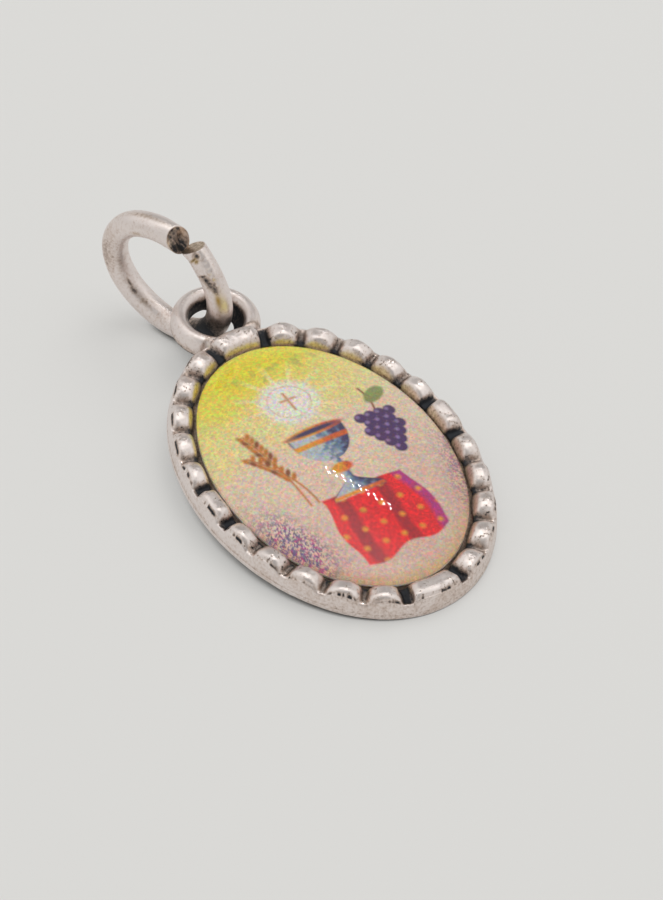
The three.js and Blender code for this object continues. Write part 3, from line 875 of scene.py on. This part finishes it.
def stacked_ovals(half, shares, heights, columns, top):
    """Closed skin of level ovals, each at its share of the half sizes and its height, capped at the top."""
    turn = np.linspace(0, 2 * np.pi, columns, endpoint=False)
    turns = np.stack([np.sin(turn), np.cos(turn)], -1)
    rings = np.stack([flat_ring(half * share, turns, z) for share, z in zip(shares, heights)])
    return capped_rings(rings, (0, 0, heights[0]), (0, 0, top))


def clear_dome():
    """Points and faces of the dome: a flat bottom bonded to the print, a low upright edge with a fillet, and
    a rise of (1 - out squared) to the power 0.8 from the edge to the middle."""
    half = DOME_HIGH[:2] - TRIM
    bottom = CARD_HIGH[2] - BOND
    edge = DOME_LOW[2] + DOME_EDGE
    top = DOME_HIGH[2]
    inward = np.sin(np.linspace(0, np.pi / 2, DOME_ROWS)[1:]) ** 1.2
    out = 1 - inward[:-1]
    slope = np.linspace(0, np.pi / 2, ROUNDING_STEPS)
    corner_in = DOME_FILLET * (1 - np.cos(slope)) / half[0]
    corner_up = edge - DOME_FILLET * (1 - np.sin(slope))
    level = out[out < 1 - corner_in[-1] - 0.004]
    shares = np.concatenate([[0.5, 0.97, 1.0], 1 - corner_in, level])
    domed = edge + (top - edge) * (1 - level**2) ** 0.8
    heights = np.concatenate([[bottom, bottom, bottom], corner_up, domed])
    return stacked_ovals(half, shares, heights, DOME_COLUMNS, top)


def printed_card():
    """Points and faces of the card: under it, over its eased edge, and evenly inwards to its middle."""
    half = CARD_HIGH[:2] - TRIM
    low, high = CARD_LOW[2], CARD_HIGH[2]
    inward = np.linspace(1, 0, CARD_ROWS)[1:-1]
    shares = np.concatenate([[0.5, 0.995, 1.0, 1.0, 0.997], inward])
    edge = [low, low, low + CARD_EASE, high - CARD_EASE]
    heights = np.concatenate([edge, np.full(len(shares) - len(edge), high)])
    return stacked_ovals(half, shares, heights, CARD_COLUMNS, high)


INK = {
    "vivid": "#EDE23C",
    "pale": "#EEE29C",
    "cream": "#EAD6C0",
    "rose": "#DFC6B6",
    "ochre": "#D2AC62",
    "violet": "#6A5A86",
    "white": "#F2F2EC",
    "ray": "#F3EFC4",
    "silver": "#BCCBD2",
    "steel": "#6E86AA",
    "navy": "#3A3563",
    "gold": "#F0A02C",
    "orange": "#D9622A",
    "red": "#F01A26",
    "crimson": "#A00C2C",
    "magenta": "#B93287",
    "grape": "#4B2C66",
    "bloom": "#9076AE",
    "straw": "#C87A2C",
    "umber": "#8A4723",
    "leaf": "#8C9A5C",
}
SOFT_EDGE = 0.09


def inked(title):
    """Linear colour of an ink."""
    return np.array(linear(INK[title]))


def cover(distance, width=SOFT_EDGE):
    """How much an ink covers at a signed distance from its edge, 1 inside."""
    return np.clip(0.5 - distance / width, 0, 1)


def ellipse(x, y, centre, half, turn=0.0):
    """Rough signed distance to an ellipse: its implicit value times its smaller half axis."""
    u = (x - centre[0]) * math.cos(turn) + (y - centre[1]) * math.sin(turn)
    v = (y - centre[1]) * math.cos(turn) - (x - centre[0]) * math.sin(turn)
    return (np.hypot(u / half[0], v / half[1]) - 1) * min(half)


def paint_ground(x, y):
    """Yellow sky at the upper left that pales to cream and rose at the lower right, with violet clouds."""
    towards = y - 0.12 * x + 0.7 * value_noise(x, y, 1.3, 31)
    shade = blend(inked("rose"), inked("cream"), smooth_step(-4.5, 0.5, towards))
    shade = blend(shade, inked("pale"), smooth_step(0.8, 3.2, towards))
    shade = blend(shade, inked("vivid"), smooth_step(2.8, 5.8, towards))
    haze = value_noise(x, y, 0.22, 35) + value_noise(x, y, 0.5, 36)
    shade = blend(shade, inked("leaf"), 0.45 * smooth_step(0.3, 1.2, haze) * smooth_step(3, 6, y))
    rim = np.hypot(x / CARD_HIGH[0], y / CARD_HIGH[1])
    low = smooth_step(1.0, -4.0, y)
    shade = blend(shade, inked("ochre"), 0.6 * smooth_step(0.86, 1.0, rim) * low)
    mottle = smooth_step(-0.3, 0.3, value_noise(x, y, 0.055, 32) + 0.4 * value_noise(x, y, 0.3, 33))
    bearing = np.arctan2(x / CARD_HIGH[0], -y / CARD_HIGH[1])
    left = np.exp(-(((bearing + 1.0) / 0.32) ** 2)) * smooth_step(0.6, 0.86, rim)
    right = np.exp(-(((bearing - 1.15) / 0.35) ** 2)) * smooth_step(0.72, 1.0, rim)
    cloud = np.clip(1.4 * np.maximum(left, 0.6 * right) * mottle, 0, 1)
    dust = blend(inked("violet"), inked("magenta"), smooth_step(0.0, 0.5, value_noise(x, y, 0.09, 34)))
    return blend(shade, dust, cloud)


def paint_rays(shade, x, y, centre):
    """A white disc in a pale glow with twelve narrow rays, and a thin gold cross on it."""
    away = np.hypot(x - centre[0], y - centre[1])
    bearing = np.arctan2(y - centre[1], x - centre[0])
    rays = smooth_step(0.55, 0.95, np.cos(12 * bearing)) * smooth_step(2.7, 1.1, away)
    shade = blend(shade, inked("ray"), 0.75 * rays)
    shade = blend(shade, inked("white"), 0.9 * smooth_step(1.5, 1.0, away))
    shade = blend(shade, inked("white"), cover(away - 0.95))
    shade = blend(shade, inked("straw"), 0.5 * cover(np.abs(away - 0.9) - 0.02))
    upright = np.maximum(np.abs(x - centre[0]) - 0.06, np.abs(y - centre[1]) - 0.55)
    level = np.maximum(np.abs(y - centre[1] - 0.12) - 0.06, np.abs(x - centre[0]) - 0.36)
    return blend(shade, inked("straw"), 0.8 * cover(np.minimum(upright, level)))


def paint_cloth(shade, x, y):
    """A red altar cloth that hangs in folds under the cup, with small gold stars and a magenta border."""
    left = -1.75 + 0.12 * np.sin(2.1 * y)
    right = 2.15 + 0.16 * np.sin(1.6 * y + 1.0) - 0.12 * (y + 2.0)
    bottom = -5.35 + 0.16 * np.sin(2.6 * x + 0.6) + 0.12 * x
    top = -1.85 + 0.06 * np.sin(1.7 * x)
    edge = np.maximum(np.maximum(left - x, x - right), np.maximum(bottom - y, y - top))
    fold = np.sin(3.4 * x + 0.35 * y + 0.8 * np.sin(0.9 * y))
    red = blend(inked("red"), inked("crimson"), 0.85 * smooth_step(0.35, 0.95, fold))
    red = blend(red, inked("magenta"), cover(right - 0.42 - x, 0.25))
    pitch = 0.86
    row = np.floor(y / pitch)
    star_x = (x / pitch + 0.5 * (row % 2)) % 1 - 0.5
    star_y = y / pitch - row - 0.5
    red = blend(red, inked("gold"), cover((np.hypot(star_x, star_y) - 0.13) * pitch, 0.16))
    return blend(shade, red, cover(edge))


def paint_cup(shade, x, y):
    """A silver cup with a gold band, a gold knop and a flared foot, lit from the left."""
    rim, depth, width = 1.5, 1.75, 1.25
    fall = np.clip((rim - y) / depth, 0, 1)
    bowl = np.maximum(np.abs(x) - width * np.sqrt(1 - fall**2.4), np.maximum(y - rim, rim - depth - y))
    stem = np.maximum(np.abs(x) - 0.17, np.abs(y + 0.85) - 0.75)
    flare = 0.17 + 1.0 * smooth_step(-1.25, -2.15, y)
    foot = np.maximum(np.abs(x) - flare, np.maximum(y + 1.2, -2.2 - y))
    body = np.minimum(np.minimum(bowl, stem), foot)
    lit = x / np.maximum(np.where(y > rim - depth, width, flare), 0.3)
    mottle = 0.35 * value_noise(x, y, 0.13, 41)
    metal = blend(inked("silver"), inked("steel"), smooth_step(-0.35, 0.35, lit + mottle))
    metal = blend(metal, inked("navy"), smooth_step(0.2, 0.85, lit + mottle))
    metal = blend(metal, inked("navy"), 0.9 * smooth_step(-0.86, -1.0, lit))
    shade = blend(shade, metal, cover(body))
    band = np.maximum(np.abs(y - 0.85) - 0.13, bowl)
    knop = ellipse(x, y, (0, -0.72), (0.46, 0.26))
    base = np.maximum(np.abs(y + 2.1) - 0.09, foot)
    trim = blend(inked("gold"), inked("orange"), smooth_step(-0.1, 0.6, lit + mottle))
    shade = blend(shade, trim, cover(np.minimum(np.minimum(band, knop), base)))
    lip = ellipse(x, y, (0, rim), (width + 0.04, 0.24))
    shade = blend(shade, trim, cover(lip))
    return blend(shade, inked("navy"), cover(ellipse(x, y, (0, rim), (width - 0.12, 0.13))))


def paint_grapes(shade, x, y):
    """A bunch of grapes on its stalk, right of the cup: rows of round berries that narrow downwards."""
    stalk = np.abs(x - 2.75 - 0.25 * np.sin(1.4 * (y - 1.0))) - 0.05
    shade = blend(shade, inked("umber"), cover(np.maximum(stalk, np.abs(y - 2.0) - 0.8)))
    shade = blend(shade, inked("leaf"), cover(ellipse(x, y, (3.35, 2.25), (0.62, 0.34), 0.5)))
    berry, glint, spacing, drop = 0.27, 0.09, 0.46, 0.4
    for row, count in enumerate((4, 3, 4, 3, 2, 1)):
        for i in range(count):
            centre = (2.75 + (i - (count - 1) / 2) * spacing, 1.2 - row * drop)
            shade = blend(shade, inked("grape"), cover(ellipse(x, y, centre, (berry, berry))))
            lit = (centre[0] - 0.09, centre[1] + 0.1)
            shade = blend(shade, inked("bloom"), cover(ellipse(x, y, lit, (glint, glint))))
    return shade


def paint_wheat(shade, x, y):
    """Two ears of wheat left of the cup: thin bent stalks with pairs of slanted grains."""
    low, pairs, pitch = -1.9, 7, 0.27
    for foot, bend, top in ((-2.1, -0.55, 2.6), (-1.75, -1.35, 1.5)):
        climb = np.clip((y - low) / (top - low), 0, 1)
        line = foot + bend * climb**2
        stalk = np.maximum(np.abs(x - line) - 0.045, np.maximum(y - top, low - y))
        shade = blend(shade, inked("straw"), cover(stalk))
        for i in range(pairs):
            height = top - 0.1 - pitch * i
            middle = foot + bend * ((height - low) / (top - low)) ** 2
            for hand in (-1, 1):
                grain = ellipse(x, y, (middle + 0.16 * hand, height), (0.1, 0.2), -0.5 * hand)
                shade = blend(shade, inked("umber" if (i + hand) % 3 == 0 else "straw"), cover(grain))
    return shade


RAYS_CENTRE = (0.0, 3.35)
# Size in millimetres and strength of the patches in which a channel's ink lies thick or thin
UNEVEN_SIZE = 0.1
UNEVEN_SHARE = 0.15


def print_colours(x, y):
    """Ink colours at points of the card, in linear light, with the uneven cover of a small inkjet print."""
    shade = paint_ground(x, y)
    shade = paint_rays(shade, x, y, RAYS_CENTRE)
    shade = paint_cloth(shade, x, y)
    shade = paint_wheat(shade, x, y)
    shade = paint_grapes(shade, x, y)
    shade = paint_cup(shade, x, y)
    for channel in range(3):
        shade[:, channel] *= 0.98 + UNEVEN_SHARE * value_noise(x, y, UNEVEN_SIZE, 51 + channel)
    return np.clip(shade, 0.01, 0.95)


# How pitted the loop and the wire are, how smooth each metal is where it was rubbed, and how rough where
# its tarnish stays
LOOP_PITTING = 0.12
WIRE_PITTING = 0.12
BORDER_ROUGHNESS = 0.24
LOOP_ROUGHNESS = 0.3
WIRE_ROUGHNESS = 0.3
TARNISH_ROUGHNESS = 0.5


def with_poles(field):
    """Values of rings of points, with their first and last value given to the poles."""
    return np.concatenate([[field[0, 0]], field.ravel(), [field[-1, 0]]])


def silver_plate(name, finish, smooth):
    """The metal in the medal's own colours, with a roughness for where it was rubbed."""
    colours = (finish.silver, finish.silver_warm, finish.tarnish_and_shade, finish.brass)
    return metal_material(name, *colours, smooth, TARNISH_ROUGHNESS)


class BorderOperator(bpy.types.Operator):
    """Make the cast dish with its beaded border"""

    bl_idname = "medal.cast_border"
    bl_label = "Cast border"

    def execute(self, context):
        rings, tarnish_and_shade, pitting, plate = cast_border(context.scene.medal_border)
        points, faces = capped_rings(rings, (0, 0, 0), (0, 0, plate))
        fields = {"tarnish_and_shade": tarnish_and_shade, "pitting": pitting}
        values = {title: with_poles(field) for title, field in fields.items()}
        material = silver_plate("Antiqued_silver_plate", context.scene.medal_finish, BORDER_ROUGHNESS)
        make_piece("cast_border", points, faces, material, "setting", values)
        return {"FINISHED"}


class LoopOperator(bpy.types.Operator):
    """Make the cast loop that the ring hangs in"""

    bl_idname = "medal.cast_loop"
    bl_label = "Cast loop"

    def execute(self, context):
        rings, tarnish_and_shade = cast_loop(context.scene.medal_loop)
        rows, columns = rings.shape[:2]
        faces = ring_quads(rows, columns, closed=True)[:, ::-1].tolist()
        values = {"tarnish_and_shade": tarnish_and_shade.ravel(), "pitting": np.full(tarnish_and_shade.size, LOOP_PITTING)}
        material = silver_plate("Silver_plate_loop", context.scene.medal_finish, LOOP_ROUGHNESS)
        points = rings.reshape(-1, 3)
        make_piece("cast_loop", points, faces, material, "setting", values)
        return {"FINISHED"}


class RingOperator(bpy.types.Operator):
    """Make the open split ring with its cut ends"""

    bl_idname = "medal.split_ring"
    bl_label = "Split ring"

    def execute(self, context):
        rings, tarnish_and_shade, brass = split_ring(context.scene.medal_ring, context.scene.medal_loop)
        points, faces = capped_rings(rings, rings[0].mean(0), rings[-1].mean(0))
        fields = {"tarnish_and_shade": tarnish_and_shade, "rubbed": brass, "pitting": np.full(tarnish_and_shade.shape, WIRE_PITTING)}
        values = {title: with_poles(field) for title, field in fields.items()}
        material = silver_plate("Plated_brass_wire", context.scene.medal_finish, WIRE_ROUGHNESS)
        make_piece("split_ring", points, faces, material, "jump_ring", values)
        return {"FINISHED"}


class CardOperator(bpy.types.Operator):
    """Make the printed card"""

    bl_idname = "medal.printed_card"
    bl_label = "Printed card"

    def execute(self, context):
        points, faces = printed_card()
        ink = print_colours(points[:, 0], points[:, 1])
        shown = points[:, 2] > CARD_HIGH[2] - CARD_EASE / 2
        paper = np.array(context.scene.medal_finish.paper)
        colours = {"print": np.where(shown[:, None], ink, paper)}
        make_piece(
            "printed_card", points, faces, print_material(), "picture_card", colours=colours
        )
        return {"FINISHED"}


class DomeOperator(bpy.types.Operator):
    """Make the clear dome over the print"""

    bl_idname = "medal.clear_dome"
    bl_label = "Clear dome"

    def execute(self, context):
        points, faces = clear_dome()
        material = resin_material(context.scene.medal_finish.resin)
        make_piece("clear_dome", points, faces, material, "resin_dome")
        return {"FINISHED"}


# Painted shade on the floor: how far round a place other surfaces count, in millimetres, the open share of
# its sky below which the painted shade is full and above which it is gone, and the share of the glow that is
# left in it.
CONTACT_REACH = 4.0
CONTACT_FULL = 0.2
CONTACT_GONE = 0.42
CONTACT_GLOW = 0.1


def floor_material(stage):
    """Glowing matt pale acrylic, so shadows stay pale; painted shade darkens it where little sky reaches."""
    material, tree = new_material("Matt_acrylic")
    open_sky = add(tree, "ShaderNodeAmbientOcclusion", {"Distance": CONTACT_REACH * MM}, "AO")
    sky = {"Value": open_sky}
    ramp = between(CONTACT_FULL, CONTACT_GONE, CONTACT_GLOW * stage.glow, stage.glow)
    # Painted shade: colour and glow fall towards the dark colour where other surfaces hide the sky
    lit = add(tree, "ShaderNodeMapRange", sky | between(CONTACT_FULL, CONTACT_GONE))
    shades = {0: lit, 6: (*stage.painted_contact_shade, 1), 7: (*stage.floor, 1)}
    look = {
        "Base Color": add(tree, "ShaderNodeMix", shades, 2, data_type="RGBA"),
        "Roughness": 0.9,
        "Specular IOR Level": 0.0,
        "Emission Color": (*stage.glow_tint, 1),
        "Emission Strength": add(tree, "ShaderNodeMapRange", sky | ramp),
    }
    shader = add(tree, "ShaderNodeBsdfPrincipled", look)
    add(tree, "ShaderNodeOutputMaterial", {"Surface": shader})
    return material


FLOOR_HALF = 600.0


def lay_floor(stage):
    """A level square at z = 0 that isn't part of the medal."""
    half = FLOOR_HALF * MM
    corners = [(-half, -half, 0), (half, -half, 0), (half, half, 0), (-half, half, 0)]
    mesh = bpy.data.meshes.new("floor")
    mesh.from_pydata(corners, [], [(0, 1, 2, 3)])
    mesh.materials.append(floor_material(stage))
    floor = bpy.data.objects.new("floor", mesh)
    bpy.context.scene.collection.objects.link(floor)


# Slightly warm white of the tent's cloth, in linear light, and the share of the way up at which its top
# starts
TENT_COLOUR = (1.0, 0.995, 0.975, 1)
TENT_TOP = 0.9
# Areas of the tent: the opening that the camera looks in by, the one opposite, with the row of diodes, and
# the bright top. Each has an azimuth and an elevation, and the cosines from its middle at which it starts
# and is full.
TENT_AREAS = (
    {"azimuth": -128, "elevation": 46, "edge": 0.78, "full": 0.95, "change": "opening"},
    {"azimuth": 50, "elevation": 50, "edge": 0.74, "full": 0.96, "change": "opening"},
    {"azimuth": 0, "elevation": 90, "edge": 0.86, "full": 0.98, "change": "overhead"},
)


def light_tent(stage):
    """World light: a white tent that dims towards the floor and its openings, and is brightest overhead."""
    world = bpy.data.worlds.new("Light_tent")
    bpy.context.scene.world = world
    world.use_nodes = True
    tree = world.node_tree
    tree.nodes.clear()
    ray = add(tree, "ShaderNodeTexCoord", result="Generated")
    height = add(tree, "ShaderNodeSeparateXYZ", {0: ray}, "Z")
    tent = {"Value": height} | between(0, TENT_TOP, stage.horizon, stage.sky)
    strength = add(tree, "ShaderNodeMapRange", tent)
    for area in TENT_AREAS:
        azimuth, elevation = math.radians(area["azimuth"]), math.radians(area["elevation"])
        level = math.cos(elevation)
        middle = (level * math.cos(azimuth), level * math.sin(azimuth), math.sin(elevation))
        facing = add(tree, "ShaderNodeVectorMath", {0: ray, 1: middle}, "Value", operation="DOT_PRODUCT")
        ramp = between(area["edge"], area["full"], 0, getattr(stage, area["change"]))
        change = add(
            tree, "ShaderNodeMapRange", {"Value": facing} | ramp, interpolation_type="SMOOTHSTEP"
        )
        strength = add(tree, "ShaderNodeMath", {0: strength, 1: change}, operation="ADD")
    light = add(tree, "ShaderNodeBackground", {"Color": TENT_COLOUR, "Strength": strength})
    add(tree, "ShaderNodeOutputWorld", {"Surface": light})


# Place of the large soft light and the length of its side, in millimetres
KEY_PLACE = (230.0, 170.0, 470.0)
KEY_SIZE = 380.0


def soft_key(power):
    """A large square light behind the row of diodes, facing the medal and kept out of reflections."""
    light = bpy.data.lights.new("key", "AREA")
    light.size = KEY_SIZE * MM
    light.energy = power
    lamp = bpy.data.objects.new("key", light)
    lamp.location = Vector(KEY_PLACE) * MM
    lamp.rotation_euler = lamp.location.to_track_quat("Z", "Y").to_euler()
    lamp.visible_glossy = False
    bpy.context.scene.collection.objects.link(lamp)


# Row of paired diodes over the medal, from its first pair to its last, with their radius and the gap in a
# pair, in millimetres, and how far one of a pair lags behind the other, as a share of the pairs' pitch
DIODE_START = (129.0, 162.0, 342.0)
DIODE_END = (190.0, 91.0, 340.0)
DIODE_PAIRS = 9
DIODE_RADIUS = 1.7
DIODE_GAP = 7.0
DIODE_LAG = 0.35


def diode_row(power):
    """Two rows of small round lights that show as points in the dome."""
    start, end = Vector(DIODE_START), Vector(DIODE_END)
    aside = (end - start).cross(start).normalized() * DIODE_GAP / 2
    for i in range(DIODE_PAIRS):
        middle = start.lerp(end, i / (DIODE_PAIRS - 1))
        for hand, lag in ((-1, 0.0), (1, DIODE_LAG)):
            along = (end - start) * lag / DIODE_PAIRS
            light = bpy.data.lights.new("diode", "POINT")
            light.energy = power
            light.shadow_soft_size = DIODE_RADIUS * MM
            lamp = bpy.data.objects.new("diode", light)
            lamp.location = (middle + along + aside * hand) * MM
            bpy.context.scene.collection.objects.link(lamp)


# The camera's focal length in millimetres, and how near it starts to see, in metres
LENS = 128.07
NEAR_LIMIT = 0.01


def add_camera(stage):
    """Camera at the photograph's angle to the flat medal, at the photograph's distance."""
    azimuth, elevation, roll = stage.azimuth, stage.elevation, stage.roll
    level = math.cos(elevation)
    back = Vector((math.sin(azimuth) * level, -math.cos(azimuth) * level, math.sin(elevation)))
    right = Vector((math.cos(azimuth), math.sin(azimuth), 0))
    up = back.cross(right)
    turned_right = math.cos(roll) * right - math.sin(roll) * up
    turned_up = math.sin(roll) * right + math.cos(roll) * up
    aim = turned_right * stage.aim_right + turned_up * stage.aim_up
    place = Vector(LAID @ np.array(aim + back * stage.distance)) + Vector(BACK_CENTRE * MM)
    axes = LAID @ np.array([turned_right, turned_up, back]).T
    data = bpy.data.cameras.new("camera")
    data.lens = LENS
    data.clip_start = NEAR_LIMIT
    camera = bpy.data.objects.new("camera", data)
    camera.matrix_world = Matrix.LocRotScale(place, Matrix(axes.tolist()).to_quaternion(), None)
    bpy.context.scene.collection.objects.link(camera)
    bpy.context.scene.camera = camera


class StudioOperator(bpy.types.Operator):
    """Make the floor, the lights and the camera"""

    bl_idname = "medal.studio"
    bl_label = "Studio"

    def execute(self, context):
        stage = context.scene.medal_stage
        lay_floor(stage)
        light_tent(stage)
        soft_key(stage.key)
        diode_row(stage.diode)
        add_camera(stage)
        context.scene.view_settings.view_transform = "Standard"
        return {"FINISHED"}


OPERATORS = (BorderOperator, LoopOperator, RingOperator, CardOperator, DomeOperator, StudioOperator)
GROUPS = {
    "medal_border": MedalBorder,
    "medal_loop": MedalLoop,
    "medal_ring": MedalRing,
    "medal_finish": MedalFinish,
    "medal_stage": MedalStage,
}


class MedalPanel(bpy.types.Panel):
    """Lists the medal's operators and sizes"""

    bl_idname = "VIEW3D_PT_medal"
    bl_label = "Oval picture medal"
    bl_space_type = "VIEW_3D"
    bl_region_type = "UI"
    bl_category = "Medal"

    def draw(self, context):
        for operator in OPERATORS:
            self.layout.operator(operator.bl_idname)
        for title, group in GROUPS.items():
            box = self.layout.box()
            for name in group.__annotations__:
                box.prop(getattr(context.scene, title), name)


def register():
    """Registers the property groups, the operators and the panel."""
    for title, group in GROUPS.items():
        bpy.utils.register_class(group)
        setattr(bpy.types.Scene, title, PointerProperty(type=group))
    for operator in OPERATORS:
        bpy.utils.register_class(operator)
    bpy.utils.register_class(MedalPanel)


def unregister():
    """Takes them away again."""
    bpy.utils.unregister_class(MedalPanel)
    for operator in reversed(OPERATORS):
        bpy.utils.unregister_class(operator)
    for title, group in reversed(GROUPS.items()):
        delattr(bpy.types.Scene, title)
        bpy.utils.unregister_class(group)


def main():
    """Builds every piece and the stage."""
    register()
    bpy.ops.medal.cast_border()
    bpy.ops.medal.cast_loop()
    bpy.ops.medal.split_ring()
    bpy.ops.medal.printed_card()
    bpy.ops.medal.clear_dome()
    bpy.ops.medal.studio()


if __name__ == "__main__":
    main()
